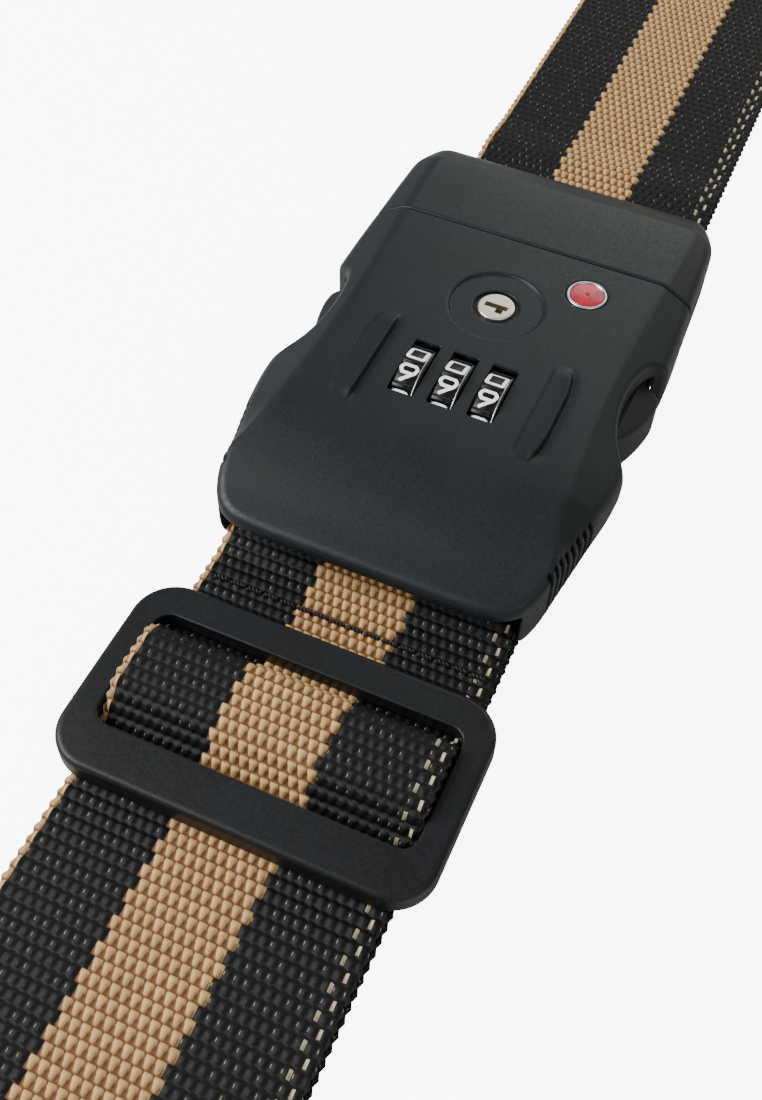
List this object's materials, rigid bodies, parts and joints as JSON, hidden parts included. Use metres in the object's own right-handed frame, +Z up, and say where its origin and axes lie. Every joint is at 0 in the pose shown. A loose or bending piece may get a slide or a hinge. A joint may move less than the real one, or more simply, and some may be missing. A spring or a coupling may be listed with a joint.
{
  "type": "luggage strap",
  "caption": "Luggage strap loop with a side-release buckle holding a dial and key lock, and a slider that sets its length.",
  "frame": {"origin": "on the rest face, midway across the webbing, below the place where the webbing leaves the socket", "axes": "+X across the strap, +Y along it from the slider to the plug, +Z up out of the buckle's face"},
  "size_m": [0.064, 0.422, 0.0228],
  "materials": {
    "shell_plastic": "fine moulded texture",
    "inner_plastic": "matte",
    "steel": "satin",
    "dial_plastic": "satin black",
    "brass": "plain",
    "nickel": "nickel plate",
    "red_enamel": "gloss",
    "webbing": "coarse weave with a tan middle stripe",
    "thread": "twisted thread"
  },
  "bodies": {
    "socket": {"socket_top_shell": "shell_plastic", "socket_back_cover": "shell_plastic", "cover_screws": "steel", "socket_strap_bar": "steel", "lock_chassis": "inner_plastic", "dial_spindle": "steel", "spindle_spring": "steel", "detent_spring": "steel", "key_housing": "inner_plastic", "enamel_dot": "red_enamel", "webbing_socket_run": "webbing", "webbing_inner_run": "webbing", "stitch_row": "thread"},
    "plug": {"plug_head": "shell_plastic", "plug_strap_bar": "steel", "webbing_plug_run": "webbing"},
    "arm_left": {"release_arm_left": "shell_plastic"},
    "arm_right": {"release_arm_right": "shell_plastic"},
    "dial_left": {"dial_left": "dial_plastic", "dial_sleeve_left": "brass"},
    "dial_middle": {"dial_middle": "dial_plastic", "dial_sleeve_middle": "brass"},
    "dial_right": {"dial_right": "dial_plastic", "dial_sleeve_right": "brass"},
    "key": {"key_rotor": "nickel", "key_cam": "brass"},
    "plate": {"locking_plate": "inner_plastic"},
    "reset": {"reset_button": "inner_plastic"},
    "slider": {"slider_frame": "shell_plastic", "webbing_slider_turn": "webbing", "webbing_fixed_end": "webbing"}
  },
  "joints": [
    {"name": "plug_slide", "type": "slide", "parent": "socket", "child": "plug", "axis": [0, 1, 0], "range_m": [0, 0.045], "deforming": ["release_arm_left", "release_arm_right"]},
    {"name": "arm_left_press", "type": "hinge", "parent": "plug", "child": "arm_left", "pos_m": [-0.0268, 0.079, 0.0105], "axis": [0, 0, 1], "range_deg": [0, 7.5]},
    {"name": "arm_right_press", "type": "hinge", "parent": "plug", "child": "arm_right", "pos_m": [0.0268, 0.079, 0.0105], "axis": [0, 0, -1], "range_deg": [0, 7.5]},
    {"name": "dial_left_turn", "type": "hinge", "parent": "socket", "child": "dial_left", "pos_m": [-0.00704, 0.0322, 0.0146], "axis": [1, 0, 0], "continuous": true},
    {"name": "dial_middle_turn", "type": "hinge", "parent": "socket", "child": "dial_middle", "pos_m": [0, 0.0322, 0.0146], "axis": [1, 0, 0], "continuous": true},
    {"name": "dial_right_turn", "type": "hinge", "parent": "socket", "child": "dial_right", "pos_m": [0.00704, 0.0322, 0.0146], "axis": [1, 0, 0], "continuous": true},
    {"name": "key_turn", "type": "hinge", "parent": "socket", "child": "key", "pos_m": [0, 0.0525, 0.014], "axis": [0, 0, 1], "range_deg": [0, 90]},
    {"name": "plate_slide", "type": "slide", "parent": "socket", "child": "plate", "axis": [0, 1, 0], "range_m": [0, 0.002]},
    {"name": "reset_press", "type": "slide", "parent": "socket", "child": "reset", "axis": [0, 0, 1], "range_m": [0, 0.0012]},
    {"name": "slider_slide", "type": "slide", "parent": "socket", "child": "slider", "axis": [0, 1, 0], "range_m": [-0.06, 0]}
  ],
  "couplings": [
    {"joint": "key_turn", "follows": "plate_slide", "rad_per_m": 784.61}
  ]
}
